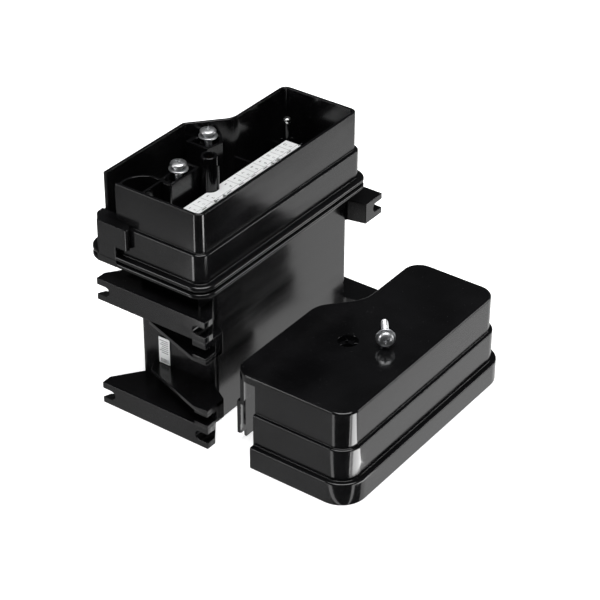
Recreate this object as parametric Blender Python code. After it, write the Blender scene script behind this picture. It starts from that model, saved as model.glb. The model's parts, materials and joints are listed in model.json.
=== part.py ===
"""Lug-mounted two-part terminal enclosure: base with open terminal chamber, lift-off cover, cover screw."""
import math

import bmesh
import bpy

MM = 0.001
GAP = 0.3

# Rim of the terminal chamber, in millimetres, seen from above.
RIM_X0, RIM_X1 = -62.0, 58.0
RIM_Y0, RIM_Y_WIDE, RIM_Y_NARROW = -23.0, 35.9, 20.4
BEND_X_WIDE, BEND_X_NARROW = -0.3, 17.4
CORNER_R = 4.0
BEND_R = 3.0
ARC_STEPS = 6

# Heights above the floor.
RIM_Z = 117.0
TOP_BAND_Z = 97.0
LEDGE_Z = 82.2
FLANGE_Z = 79.6
HOUSING_Z = 78.6
HOUSING_FLANGE_Z = 76.0
DECK_Z = 97.6
HOOD_Z = 98.0
COLUMN_Z = 115.5
MID_OUT = 1.7
FLANGE_OUT = 4.8
WALL = 1.6

# Lower housing.
BODY_X0, BODY_X1 = -52.4, 52.5
BODY_Y0, BODY_Y1 = -21.7, 22.0
BODY_R = 3.0
BODY_WALL = 2.0
LUG_OUT_X0, LUG_OUT_X1 = -70.5, 68.1
LUG_Y0, LUG_Y1 = -31.0, 31.3
SLAB_TIP = 5.5
CORNER_TIP = 12.5
RIGHT_TIP = 13.6
SLOT_H = 4.6
SLOT_DEPTH = 7.2

# Cover, lying beside the base on the same floor.
COVER_DX, COVER_DY = -2.05, -79.7
COVER_OUT = 1.8
COVER_WALL = 1.5
COVER_Z = 47.0
COVER_TOP_Z = 45.2
COVER_BAND_Z = 28.1
COVER_SKIRT_Z = 11.6
COVER_MID_OUT = 3.4
COVER_SKIRT_OUT = 6.0
COVER_CORNER_R = 7.0
COVER_BEND_R = 12.0

COVER_WINDOW_Y = -54.7
COVER_WINDOW_Z = 42.7

COLUMN = (-15.2, 8.8)
COLUMN_R = 3.9
POST = (44.2, 8.6)
TAB_XS = (-26.4, -19.9, 16.6, 21.1)
SCREWS = ((-29.0, 15.5), (3.0, 23.6))
SCREW_HEAD_Z = 113.6
THREAD_R = 1.85
HEAD_R = 4.0

# Loose cover screw lying on the cover.
LOOSE_SCREW = (-11.1, -87.0, 51.9)
LOOSE_TURN = 35.8
LOOSE_TILT = 8.5
LOOSE_LENGTH = 16.5
LOOSE_WASHER_R = 4.5


def clear_scene():
    for old in list(bpy.data.objects):
        bpy.data.objects.remove(old, do_unlink=True)


def material(name, colour, roughness, metallic=0.0):
    mat = bpy.data.materials.get(name)
    if mat is None:
        mat = bpy.data.materials.new(name)
        mat.use_nodes = True
        shader = mat.node_tree.nodes["Principled BSDF"]
        shader.inputs["Base Color"].default_value = (*colour, 1.0)
        shader.inputs["Roughness"].default_value = roughness
        shader.inputs["Metallic"].default_value = metallic
    return mat


def add_mesh(name, verts, faces, mat, smooth=False, origin=(0.0, 0.0, 0.0)):
    mesh = bpy.data.meshes.new(name)
    pts = [tuple((v[i] - origin[i]) * MM for i in range(3)) for v in verts]
    mesh.from_pydata(pts, [], faces)
    work = bmesh.new()
    work.from_mesh(mesh)
    bmesh.ops.remove_doubles(work, verts=work.verts, dist=1e-7)
    bmesh.ops.recalc_face_normals(work, faces=work.faces)
    work.to_mesh(mesh)
    work.free()
    for face in mesh.polygons:
        face.use_smooth = smooth
    mesh.materials.append(mat)
    obj = bpy.data.objects.new(name, mesh)
    obj.location = tuple(c * MM for c in origin)
    bpy.context.collection.objects.link(obj)
    return obj


def line_cross(p, d, q, e):
    den = d[0] * e[1] - d[1] * e[0]
    t = ((q[0] - p[0]) * e[1] - (q[1] - p[1]) * e[0]) / den
    return (p[0] + t * d[0], p[1] + t * d[1])


def rounded(corners, radii, offset=0.0, steps=ARC_STEPS):
    """Points of a counter-clockwise polygon, pushed outwards, with each corner turned into an arc."""
    count = len(corners)
    sides = []
    for i in range(count):
        a = corners[i]
        b = corners[(i + 1) % count]
        length = math.hypot(b[0] - a[0], b[1] - a[1])
        d = ((b[0] - a[0]) / length, (b[1] - a[1]) / length)
        out = (d[1], -d[0])
        sides.append(((a[0] + out[0] * offset, a[1] + out[1] * offset), d, out))
    points = []
    for i in range(count):
        p, d, out_d = sides[i - 1]
        q, e, out_e = sides[i]
        corner = line_cross(p, d, q, e)
        turn = d[0] * e[1] - d[1] * e[0]
        sign = 1.0 if turn > 0 else -1.0
        radius = max(radii[i] + sign * offset, 0.05)
        half = abs(math.atan2(turn, d[0] * e[0] + d[1] * e[1])) / 2
        back = radius * math.tan(half)
        start = (corner[0] - d[0] * back, corner[1] - d[1] * back)
        centre = (start[0] - out_d[0] * radius * sign, start[1] - out_d[1] * radius * sign)
        first = math.atan2(start[1] - centre[1], start[0] - centre[0])
        for k in range(steps + 1):
            angle = first + sign * 2 * half * k / steps
            points.append((centre[0] + radius * math.cos(angle), centre[1] + radius * math.sin(angle)))
    return points


def rim_corners(dx=0.0, dy=0.0):
    base = [(RIM_X0, RIM_Y0), (RIM_X1, RIM_Y0), (RIM_X1, RIM_Y_NARROW),
            (BEND_X_NARROW, RIM_Y_NARROW), (BEND_X_WIDE, RIM_Y_WIDE), (RIM_X0, RIM_Y_WIDE)]
    return [(x + dx, y + dy) for x, y in base]


def rim_outline(offset):
    radii = [CORNER_R, CORNER_R, CORNER_R, BEND_R + 6.0, BEND_R, CORNER_R]
    return rounded(rim_corners(), radii, offset)


def cover_outline(offset):
    radii = [COVER_CORNER_R] * 3 + [COVER_BEND_R + 6.0, COVER_BEND_R, COVER_CORNER_R]
    return rounded(rim_corners(COVER_DX, COVER_DY), radii, offset)


def box_outline(x0, y0, x1, y1, radius=0.0, offset=0.0):
    corners = [(x0, y0), (x1, y0), (x1, y1), (x0, y1)]
    if radius <= 0.0:
        return [(x0 - offset, y0 - offset), (x1 + offset, y0 - offset),
                (x1 + offset, y1 + offset), (x0 - offset, y1 + offset)]
    return rounded(corners, [radius] * 4, offset)


def circle(x, y, radius, steps=32):
    return [(x + radius * math.cos(2 * math.pi * k / steps), y + radius * math.sin(2 * math.pi * k / steps))
            for k in range(steps)]


def loft(name, loops, mat, smooth=False, origin=(0.0, 0.0, 0.0)):
    """Closed solid through loops of equal point count, each given as (points, height)."""
    count = len(loops[0][0])
    verts = [(x, y, z) for pts, z in loops for x, y in pts]
    faces = []
    for row in range(len(loops) - 1):
        for k in range(count):
            n = (k + 1) % count
            faces.append((row * count + k, row * count + n, (row + 1) * count + n, (row + 1) * count + k))
    faces.append(tuple(reversed(range(count))))
    top = (len(loops) - 1) * count
    faces.append(tuple(range(top, top + count)))
    return add_mesh(name, verts, faces, mat, smooth, origin)


def prism(name, outline, z0, z1, mat, smooth=False, origin=(0.0, 0.0, 0.0)):
    return loft(name, [(outline, z0), (outline, z1)], mat, smooth, origin)


def ring(name, outer, inner, z0, z1, mat, smooth=False):
    """Closed ring between two outlines of equal point count."""
    count = len(outer)
    verts = [(x, y, z) for pts, z in ((outer, z0), (outer, z1), (inner, z1), (inner, z0)) for x, y in pts]
    faces = []
    for row in range(4):
        low = row * count
        high = (row + 1) % 4 * count
        faces += [(low + k, low + (k + 1) % count, high + (k + 1) % count, high + k) for k in range(count)]
    return add_mesh(name, verts, faces, mat, smooth)


def block(name, x0, x1, y0, y1, z0, z1, mat):
    return prism(name, box_outline(x0, y0, x1, y1), z0, z1, mat)


def along_y(name, outline_xz, y0, y1, mat):
    count = len(outline_xz)
    verts = [(x, y, z) for y in (y0, y1) for x, z in outline_xz]
    faces = [tuple(range(count)), tuple(reversed(range(count, 2 * count)))]
    faces += [(k, (k + 1) % count, count + (k + 1) % count, count + k) for k in range(count)]
    return add_mesh(name, verts, faces, mat)


def along_x(name, outline_yz, x0, x1, mat):
    count = len(outline_yz)
    verts = [(x, y, z) for x in (x0, x1) for y, z in outline_yz]
    faces = [tuple(range(count)), tuple(reversed(range(count, 2 * count)))]
    faces += [(k, (k + 1) % count, count + (k + 1) % count, count + k) for k in range(count)]
    return add_mesh(name, verts, faces, mat)


def combine(target, tool, operation):
    mod = target.modifiers.new(f"{operation.lower()}_{tool.name}", "BOOLEAN")
    mod.operation = operation
    mod.solver = "EXACT"
    mod.object = tool
    tool.hide_render = True
    tool.display_type = "WIRE"


def join(target, tool):
    combine(target, tool, "UNION")


def cut(target, tool):
    combine(target, tool, "DIFFERENCE")


# ---------------------------------------------------------------- lower housing

def slab_plan():
    """Plan of the thin full-width lug slab at the -X end."""
    inside = BODY_X0 + 1.2
    return [(LUG_OUT_X0, LUG_Y0), (LUG_OUT_X0 + SLAB_TIP, LUG_Y0), (BODY_X0, BODY_Y0), (inside, BODY_Y0 + 1.0),
            (inside, BODY_Y1 - 1.0), (BODY_X0, BODY_Y1), (LUG_OUT_X0 + SLAB_TIP, LUG_Y1), (LUG_OUT_X0, LUG_Y1)]


def corner_plate_plan():
    """Plan of a corner lug's plate at the -X end, tapering towards the housing's far corner."""
    inside = BODY_X0 + 1.2
    return [(LUG_OUT_X0, LUG_Y0), (LUG_OUT_X0 + CORNER_TIP, LUG_Y0), (BODY_X0, BODY_Y0), (inside, BODY_Y0 + 1.0),
            (inside, 14.0), (BODY_X0, 14.0), (BODY_X0 - 7.2, 10.5), (LUG_OUT_X0, LUG_Y0 + 8.0)]


def corner_web_plan():
    """Plan of the web that carries a corner lug's plate, set back behind the screw slot."""
    inside = BODY_X0 + 1.2
    tip = LUG_OUT_X0 + SLOT_DEPTH
    return [(tip, LUG_Y0), (LUG_OUT_X0 + CORNER_TIP, LUG_Y0), (BODY_X0, BODY_Y0), (inside, BODY_Y0 + 1.0),
            (inside, 13.0), (BODY_X0, 13.0), (BODY_X0 - 2.0, 8.0), (tip + 0.3, LUG_Y0 + 9.5)]


def corner_lug(shell, k, plate, web, bosses, plastic):
    """Add one corner lug: a tapering plate, the web behind its slot, and a boss at each jaw's tip."""
    join(shell, prism(f"tool_corner_plate_{k}", corner_plate_plan(), *plate, plastic))
    join(shell, prism(f"tool_corner_web_{k}", corner_web_plan(), *web, plastic))
    for j, (z0, z1) in enumerate(bosses):
        join(shell, block(f"tool_corner_boss_{k}_{j}", LUG_OUT_X0, LUG_OUT_X0 + SLOT_DEPTH + 0.2, LUG_Y0,
                          LUG_Y0 + 7.5, z0, z1, plastic))


def right_lug_plan():
    """Plan of a lug level at the +X end, wider than the housing at both ends."""
    tip = LUG_OUT_X1 - RIGHT_TIP
    inside = BODY_X1 - 1.2
    return [(tip, LUG_Y0), (LUG_OUT_X1, LUG_Y0), (LUG_OUT_X1, LUG_Y1), (tip, LUG_Y1), (BODY_X1, BODY_Y1), (inside, BODY_Y1 - 1.0), (inside, BODY_Y0 + 1.0), (BODY_X1, BODY_Y0)]


def slot_x(name, y, z, toward, x0, x1, mat):
    """Cutter for an open slot that runs through along X and opens toward -Y or +Y."""
    half = SLOT_H / 2
    centre = y - toward * (SLOT_DEPTH - half)
    pts = [(y + toward * 2.0, z - half), (y + toward * 2.0, z + half)]
    for k in range(9):
        angle = math.pi / 2 + math.pi * k / 8
        pts.append((centre + toward * half * math.cos(angle), z + half * math.sin(angle)))
    return along_x(name, pts, x0, x1, mat)


def slot_y(name, x, z, toward, y0, y1, mat):
    """Cutter for an open slot that runs through along Y and opens toward -X or +X."""
    half = SLOT_H / 2
    centre = x - toward * (SLOT_DEPTH - half)
    pts = [(x + toward * 2.0, z - half), (x + toward * 2.0, z + half)]
    for k in range(9):
        angle = math.pi / 2 + math.pi * k / 8
        pts.append((centre + toward * half * math.cos(angle), z + half * math.sin(angle)))
    return along_y(name, pts, y0, y1, mat)


def lower_housing(plastic):
    body = box_outline(BODY_X0, BODY_Y0, BODY_X1, BODY_Y1, BODY_R)
    inner = box_outline(BODY_X0, BODY_Y0, BODY_X1, BODY_Y1, BODY_R, -BODY_WALL)
    mouth = box_outline(BODY_X0, BODY_Y0, BODY_X1, BODY_Y1, BODY_R, -BODY_WALL - 0.3)
    shell = loft("lower_housing", [(body, 0.0), (body, HOUSING_Z - 0.8), (inner, HOUSING_Z - 0.8),
                                   (inner, BODY_WALL)], plastic)
    join(shell, prism("tool_housing_flange", rim_outline(FLANGE_OUT), HOUSING_FLANGE_Z, HOUSING_Z, plastic))
    cut(shell, prism("tool_housing_mouth", mouth, HOUSING_FLANGE_Z - 3.0, HOUSING_Z + 2.0, plastic))
    cut(shell, block("tool_hood_notch", LUG_OUT_X0, RIM_X0 - 3.4, 21.8, 33.7, 75.0, FLANGE_Z - 0.1, plastic))
    corner_lug(shell, 0, (46.5, 48.7), (46.5, 58.4), ((48.4, 50.2), (54.9, 58.4)), plastic)
    corner_lug(shell, 1, (19.3, 21.5), (11.1, 21.5), ((17.8, 19.6), (11.1, 13.2)), plastic)
    for k, (z0, z1) in enumerate(((58.0, 69.5), (0.0, 11.5))):
        join(shell, prism(f"tool_slab_{k}", slab_plan(), z0, z1, plastic))
        for j, (y, toward) in enumerate(((LUG_Y0, -1), (LUG_Y1, 1))):
            cut(shell, slot_x(f"tool_slot_{k}_{j}", y, (z0 + z1) / 2, toward, LUG_OUT_X0 - 2.0, BODY_X0 - 1.6,
                              plastic))
    for k, (z0, z1) in enumerate(((59.0, 70.0), (3.0, 14.0))):
        join(shell, prism(f"tool_right_lug_{k}", right_lug_plan(), z0, z1, plastic))
        for j, (y0, y1) in enumerate(((LUG_Y0 - 2.0, LUG_Y0 + 10.0), (LUG_Y1 - 10.0, LUG_Y1 + 2.0))):
            cut(shell, slot_y(f"tool_right_slot_{k}_{j}", LUG_OUT_X1, (z0 + z1) / 2, 1, y0, y1, plastic))
    return shell


# ---------------------------------------------------------------- terminal chamber

def terminal_chamber(plastic):
    walls = [(rim_outline(FLANGE_OUT), FLANGE_Z), (rim_outline(FLANGE_OUT), LEDGE_Z),
             (rim_outline(MID_OUT), LEDGE_Z), (rim_outline(MID_OUT), TOP_BAND_Z),
             (rim_outline(0.0), TOP_BAND_Z), (rim_outline(0.0), RIM_Z),
             (rim_outline(-WALL), RIM_Z), (rim_outline(-WALL), LEDGE_Z)]
    chamber = loft("terminal_chamber", walls, plastic)
    corner = block("tool_corner_slot", RIM_X0 - 3.0, RIM_X0 + 5.3, 24.6, RIM_Y_WIDE + 3.0,
                   TOP_BAND_Z + 0.02, RIM_Z + 2.0, plastic)
    cut(chamber, corner)
    hood = along_x("tool_hood", [(15.9, 87.2), (22.1, 87.2), (22.1, FLANGE_Z), (33.4, FLANGE_Z),
                                 (33.4, HOOD_Z), (15.9, HOOD_Z)], RIM_X0 - FLANGE_OUT, RIM_X0 + 0.5, plastic)
    join(chamber, hood)
    join(chamber, block("tool_hood_skirt", RIM_X0 - FLANGE_OUT, RIM_X0 - 3.7, 22.1, 33.4, 76.5, LEDGE_Z - 1.0, plastic))
    floor = LEDGE_Z - 0.5
    join(chamber, prism("tool_column", circle(*COLUMN, COLUMN_R), floor, COLUMN_Z, plastic))
    cut(chamber, prism("tool_column_hole", circle(*COLUMN, 2.9), COLUMN_Z - 9.0, COLUMN_Z + 1.0, plastic))
    join(chamber, prism("tool_post", circle(*POST, 1.8, 20), floor, 106.5, plastic))
    well = [(-39.0, 11.5), (-18.6, 11.5), (-18.6, 19.5), (-39.0, 19.5)]
    join(chamber, prism("tool_well_1", well, floor, 110.0, plastic))
    cut(chamber, block("tool_well_1_hole", -37.6, -20.0, 12.9, 18.1, 100.0, 111.0, plastic))
    skew = [(-3.6, 19.0), (5.9, 17.2), (12.4, 23.2), (3.4, 31.9), (-3.6, 31.9)]
    join(chamber, prism("tool_well_2", skew, floor, 110.0, plastic))
    cut(chamber, prism("tool_well_2_hole", [(-2.2, 20.4), (5.3, 18.8), (9.4, 22.4), (1.6, 29.6), (-2.2, 29.6)],
                       100.0, 111.0, plastic))
    arc = [(-61.0, 25.0)]
    for k in range(13):
        angle = math.radians(90.0 - 102.0 * k / 12)
        arc.append((-54.0 + 10.5 * math.cos(angle), 14.5 + 10.5 * math.sin(angle)))
    arc += [(-61.0, 12.3)]
    pocket = [(-59.9, 23.6)]
    for k in range(13):
        angle = math.radians(90.0 - 96.0 * k / 12)
        pocket.append((-54.0 + 9.1 * math.cos(angle), 14.5 + 9.1 * math.sin(angle)))
    pocket += [(-59.9, 13.6)]
    join(chamber, prism("tool_duct", list(reversed(arc)), floor, 114.0, plastic))
    cut(chamber, prism("tool_duct_hole", list(reversed(pocket)), LEDGE_Z + 0.8, 116.0, plastic))
    cut(chamber, block("tool_header_window", -30.0, 30.0, -16.0, -8.0, FLANGE_Z - 1.0, LEDGE_Z + 1.0, plastic))
    return chamber


def flange_gasket(rubber):
    """Thin seal lying in the seam between the two flanges."""
    return ring("flange_gasket", rim_outline(FLANGE_OUT - 1.4), rim_outline(FLANGE_OUT - 3.2),
                HOUSING_Z + GAP, FLANGE_Z - GAP, rubber)


def terminal_deck(dark):
    deck = block("terminal_deck", -37.9, 41.9, -19.0, 7.4, LEDGE_Z + GAP, DECK_Z, dark)
    cut(deck, prism("tool_deck_column", circle(*COLUMN, COLUMN_R + 0.5), 80.0, 100.0, dark))
    cut(deck, prism("tool_deck_post", circle(*POST, 2.6, 20), 80.0, 100.0, dark))
    cut(deck, block("tool_deck_header", -29.0, 29.0, -17.0, -7.0, 80.0, 91.0, dark))
    for k in range(12):
        x = -33.6 + k * 6.45
        cut(deck, block(f"tool_deck_way_{k}", x - 2.3, x + 2.3, -18.0, -6.0, 92.5, 99.0, dark))
    return deck


def label_strip(paper):
    strip = block("label_strip", -37.7, 41.6, -1.4, 7.2, DECK_Z + GAP, DECK_Z + GAP + 0.4, paper)
    cut(strip, prism("tool_label_column", circle(*COLUMN, COLUMN_R + 0.5), 90.0, 105.0, paper))
    return strip


def rating_label(paper):
    return block("rating_label", BODY_X0 - GAP - 0.35, BODY_X0 - GAP, 4.4, 10.8, 21.8, 36.2, paper)


def contact_tabs(tin):
    for k, x in enumerate(TAB_XS, 1):
        block(f"contact_tab_{k}", x - 0.4, x + 0.4, -5.6, -2.6, DECK_Z + GAP, DECK_Z + 3.4, tin)


def post_pin(tin):
    return prism("post_pin", circle(*POST, 1.5, 20), 106.5 + GAP, 109.0, tin, True)


def column_insert(brass):
    ring = [(circle(*COLUMN, 2.5, 24), COLUMN_Z - 8.0), (circle(*COLUMN, 2.5, 24), COLUMN_Z - 0.4),
            (circle(*COLUMN, 1.65, 24), COLUMN_Z - 0.4), (circle(*COLUMN, 1.65, 24), COLUMN_Z - 7.0)]
    return loft("column_insert", ring, brass, True)


# ---------------------------------------------------------------- terminal screws

def clamp_nut(name, x, y, zinc):
    nut = loft(name, [(box_outline(x - 2.3, y - 2.3, x + 2.3, y + 2.3), 100.4),
                      (box_outline(x - 2.3, y - 2.3, x + 2.3, y + 2.3), 105.0)], zinc)
    cut(nut, prism(f"tool_{name}", circle(x, y, THREAD_R + 0.2, 24), 99.0, 106.0, zinc))
    return nut


def terminal_screw(name, x, y, zinc):
    loops = [(1.3, 101.0), (THREAD_R, 101.6), (THREAD_R, SCREW_HEAD_Z - 0.6), (2.6, SCREW_HEAD_Z - 0.4),
             (2.6, SCREW_HEAD_Z), (3.3, SCREW_HEAD_Z + 0.2), (3.4, SCREW_HEAD_Z + 1.4), (2.9, SCREW_HEAD_Z + 2.3),
             (1.9, SCREW_HEAD_Z + 2.6)]
    obj = loft(name, [(circle(x, y, r, 28), z) for r, z in loops], zinc, True, (x, y, SCREW_HEAD_Z))
    for k, (w, d) in enumerate(((0.5, 1.6), (1.6, 0.5))):
        cut(obj, block(f"tool_{name}_{k}", x - w, x + w, y - d, y + d, SCREW_HEAD_Z + 1.2, SCREW_HEAD_Z + 4.0, zinc))
    return obj


def clamp_washer(name, x, y, zinc):
    loops = [(circle(x, y, HEAD_R, 32), SCREW_HEAD_Z - 1.7), (circle(x, y, HEAD_R + 0.5, 32), SCREW_HEAD_Z - 1.4),
             (circle(x, y, HEAD_R + 0.5, 32), SCREW_HEAD_Z - 0.9)]
    obj = loft(name, loops, zinc, True, (x, y, SCREW_HEAD_Z))
    cut(obj, prism(f"tool_{name}", circle(x, y, THREAD_R + 0.35, 32), SCREW_HEAD_Z - 3.0, SCREW_HEAD_Z + 1.0, zinc))
    return obj


# ---------------------------------------------------------------- electronics in the lower housing

def electronics(mats):
    floor = BODY_WALL
    block("circuit_board", -48.0, 48.0, -16.6, -15.0, floor + 3.0, 74.0, mats["board"])
    for k, x in enumerate((-38.0, 38.0), 1):
        block(f"board_rail_{k}", x - 8.0, x + 8.0, -19.4, -11.6, floor + GAP, floor + 2.7, mats["dark"])
    core = block("transformer_core", -44.0, -8.0, -11.0, 19.0, 26.0, 56.0, mats["steel"])
    cut(core, block("tool_core_window", -37.6, -14.4, -12.0, 20.0, 32.4, 49.6, mats["steel"]))
    block("transformer_bobbin", -37.0, -15.0, -13.6, 19.4, 33.0, 49.0, mats["dark"])
    block("output_coil", -46.8, -5.2, -14.2, 17.0, 58.0, 69.0, mats["copper"])
    block("relay_1", 2.0, 17.0, -14.7, 1.0, 40.0, 69.0, mats["relay"])
    block("relay_2", 21.0, 36.0, -14.7, 1.0, 40.0, 69.0, mats["relay"])
    prism("capacitor", circle(10.0, 8.0, 7.0, 32), 8.0, 34.0, mats["film"], True)
    block("film_capacitor", 22.0, 44.0, -14.7, -6.0, 8.0, 26.0, mats["yellow"])
    for k, x in enumerate((21.5, 42.5), 1):
        block(f"fuse_clip_{k}", x - 1.5, x + 1.5, -14.7, -8.6, 29.0, 37.0, mats["tin"])
    along = bpy.data.objects.new("fuse_axis", None)
    bpy.context.collection.objects.link(along)
    fuse = prism("fuse", circle(0.0, 0.0, 2.4, 24), -8.6, 8.6, mats["glass"], True)
    fuse.parent = along
    along.rotation_euler = (0.0, math.radians(90.0), 0.0)
    along.location = (32.0 * MM, -11.6 * MM, 33.0 * MM)
    for k, x in enumerate((-22.0, -8.0, 8.0, 22.0), 1):
        block(f"header_pin_{k}", x - 0.4, x + 0.4, -12.4, -11.6, 76.5, 90.0, mats["tin"])
    block("header_body", -27.5, 27.5, -14.7, -9.3, 70.0, 76.2, mats["dark"])


# ---------------------------------------------------------------- cover

def cover(plastic):
    loops = [(cover_outline(COVER_OUT - 1.2), COVER_Z), (cover_outline(COVER_OUT - 0.35), COVER_Z - 0.35),
             (cover_outline(COVER_OUT), COVER_Z - 1.2), (cover_outline(COVER_OUT), COVER_BAND_Z),
             (cover_outline(COVER_MID_OUT), COVER_BAND_Z), (cover_outline(COVER_MID_OUT), COVER_SKIRT_Z),
             (cover_outline(COVER_SKIRT_OUT), COVER_SKIRT_Z), (cover_outline(COVER_SKIRT_OUT), 0.0),
             (cover_outline(COVER_SKIRT_OUT - COVER_WALL), 0.0),
             (cover_outline(COVER_SKIRT_OUT - COVER_WALL), COVER_SKIRT_Z - COVER_WALL),
             (cover_outline(COVER_MID_OUT - COVER_WALL), COVER_SKIRT_Z - COVER_WALL),
             (cover_outline(COVER_MID_OUT - COVER_WALL), COVER_BAND_Z - COVER_WALL),
             (cover_outline(COVER_OUT - COVER_WALL), COVER_BAND_Z - COVER_WALL),
             (cover_outline(COVER_OUT - COVER_WALL), COVER_TOP_Z)]
    shell = loft("cover", loops, plastic)
    corner_x = RIM_X0 + COVER_DX
    corner_y = RIM_Y_WIDE + COVER_DY
    cut(shell, block("tool_cover_window", corner_x - 9.0, corner_x + 1.6, COVER_WINDOW_Y, corner_y + 9.0,
                     -2.0, COVER_WINDOW_Z, plastic))
    cut(shell, block("tool_cover_heel", corner_x - 1.0, corner_x + 12.0, corner_y - 4.0, corner_y + 9.0,
                     -2.0, 4.4, plastic))
    cut(shell, block("tool_cover_band_end", corner_x - 9.0, corner_x + 8.0, corner_y + COVER_OUT + 0.05,
                     corner_y + 9.0, -3.0, COVER_BAND_Z + 0.3, plastic))
    hole_x = COLUMN[0] + COVER_DX
    hole_y = COLUMN[1] + COVER_DY
    join(shell, prism("tool_cover_tube", circle(hole_x, hole_y, 6.0), 34.2, COVER_TOP_Z + 0.8, plastic))
    cut(shell, prism("tool_cover_recess", circle(hole_x, hole_y, 4.9), COVER_Z - 3.0, COVER_Z + 1.0, plastic))
    cut(shell, prism("tool_cover_hole", circle(hole_x, hole_y, 2.3), 30.0, COVER_Z + 1.0, plastic))
    return shell


def lay_down(obj, tilt):
    """Turn a screw made along Z so that it lies on the cover, head facing -X and -Y."""
    obj.location = tuple(c * MM for c in LOOSE_SCREW)
    obj.rotation_euler = (0.0, math.radians(90.0 + tilt), math.radians(LOOSE_TURN))


def cover_screw(zinc):
    loops = [(1.0, LOOSE_LENGTH), (1.75, LOOSE_LENGTH - 0.8), (1.75, 0.2), (2.4, 0.0), (2.4, -0.9), (3.6, -1.0),
             (3.7, -2.2), (3.0, -3.1), (1.8, -3.4)]
    obj = loft("cover_screw", [(circle(0.0, 0.0, r, 28), z) for r, z in reversed(loops)], zinc, True)
    for k, (w, d) in enumerate(((0.5, 1.7), (1.7, 0.5))):
        tool = block(f"tool_cover_screw_{k}", -w, w, -d, d, -5.0, -1.9, zinc)
        lay_down(tool, LOOSE_TILT)
        cut(obj, tool)
    lay_down(obj, LOOSE_TILT)
    return obj


def cover_screw_washer(zinc):
    obj = ring("cover_screw_washer", circle(0.0, 0.0, LOOSE_WASHER_R, 36), circle(0.0, 0.0, 2.75, 36), -0.7, 0.3, zinc, True)
    lay_down(obj, LOOSE_TILT)
    return obj


def build():
    clear_scene()
    black = material("black_plastic", (0.012, 0.012, 0.013), 0.16)
    dark = material("dark_plastic", (0.02, 0.02, 0.022), 0.35)
    zinc = material("zinc", (0.75, 0.76, 0.78), 0.25, 1.0)
    tin = material("tin", (0.8, 0.8, 0.78), 0.3, 1.0)
    paper = material("white_label", (0.85, 0.86, 0.85), 0.45)
    mats = {"dark": dark, "tin": tin,
            "board": material("green_board", (0.03, 0.16, 0.06), 0.4),
            "steel": material("core_steel", (0.25, 0.26, 0.28), 0.5, 1.0),
            "copper": material("coil_potting", (0.05, 0.05, 0.06), 0.5),
            "relay": material("relay_case", (0.02, 0.05, 0.2), 0.35),
            "film": material("capacitor_sleeve", (0.03, 0.04, 0.12), 0.4),
            "yellow": material("film_case", (0.7, 0.45, 0.05), 0.4),
            "glass": material("fuse_glass", (0.8, 0.82, 0.8), 0.1)}
    lower_housing(black)
    terminal_chamber(black)
    flange_gasket(material("gasket_rubber", (0.02, 0.02, 0.02), 0.8))
    terminal_deck(dark)
    label_strip(paper)
    rating_label(paper)
    contact_tabs(tin)
    post_pin(tin)
    column_insert(material("brass", (0.7, 0.5, 0.2), 0.3, 1.0))
    for k, (x, y) in enumerate(SCREWS, 1):
        clamp_nut(f"clamp_nut_{k}", x, y, zinc)
        clamp_washer(f"clamp_washer_{k}", x, y, zinc)
        terminal_screw(f"terminal_screw_{k}", x, y, zinc)
    electronics(mats)
    cover(black)
    cover_screw(zinc)
    cover_screw_washer(material("dark_zinc", (0.5, 0.51, 0.53), 0.35, 1.0))


build()
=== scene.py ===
"""Studio scene of the lug-mounted two-part terminal enclosure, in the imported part's own frame."""
import json
import math

import bmesh
import bpy
from mathutils import Matrix, Vector

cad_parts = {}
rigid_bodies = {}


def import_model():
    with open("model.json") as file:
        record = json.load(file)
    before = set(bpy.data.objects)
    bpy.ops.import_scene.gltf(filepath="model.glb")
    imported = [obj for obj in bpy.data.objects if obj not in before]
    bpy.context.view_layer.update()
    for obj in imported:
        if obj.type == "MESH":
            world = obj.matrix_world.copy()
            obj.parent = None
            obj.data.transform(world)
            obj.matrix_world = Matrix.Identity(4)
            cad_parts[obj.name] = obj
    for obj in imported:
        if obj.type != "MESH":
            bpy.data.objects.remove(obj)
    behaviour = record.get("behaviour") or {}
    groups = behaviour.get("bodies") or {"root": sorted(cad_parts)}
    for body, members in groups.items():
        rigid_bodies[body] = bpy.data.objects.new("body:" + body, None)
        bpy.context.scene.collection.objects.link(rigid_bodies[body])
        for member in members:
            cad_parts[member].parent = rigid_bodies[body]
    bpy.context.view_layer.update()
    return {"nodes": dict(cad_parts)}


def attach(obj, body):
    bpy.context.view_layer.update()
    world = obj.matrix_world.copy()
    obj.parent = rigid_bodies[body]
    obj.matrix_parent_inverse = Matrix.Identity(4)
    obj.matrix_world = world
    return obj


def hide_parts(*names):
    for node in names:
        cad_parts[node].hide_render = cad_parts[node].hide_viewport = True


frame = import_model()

MM = 0.001

# Chamber rim, in millimetres, seen from above.
RIM_X0, RIM_X1 = -62.0, 58.0
RIM_Y0, RIM_Y_WIDE, RIM_Y_NARROW = -23.0, 35.9, 20.4
BEND_X_WIDE, BEND_X_NARROW = -0.3, 17.4
RIM_Z, TOP_BAND_Z, LEDGE_Z, FLANGE_Z = 117.0, 97.0, 82.2, 79.6
HOUSING_Z, HOUSING_FLANGE_Z = 78.6, 76.0
DECK_Z, COLUMN_Z = 97.6, 115.5
MID_OUT, FLANGE_OUT, WALL = 1.7, 4.8, 1.6
BODY_X0, BODY_X1, BODY_Y0, BODY_Y1 = -52.4, 52.5, -21.7, 22.0
LUG_X0, LUG_X1, LUG_Y0, LUG_Y1 = -70.5, 68.1, -31.0, 31.3
COVER_DX, COVER_DY = -2.05, -79.7
COLUMN = (-15.2, 8.8)
POST = (44.2, 8.6)
SCREWS = ((-29.0, 15.5), (3.0, 23.6))
HEAD_Z = 113.6
LOOSE_SCREW = (-11.1, -87.0, 51.9)

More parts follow.
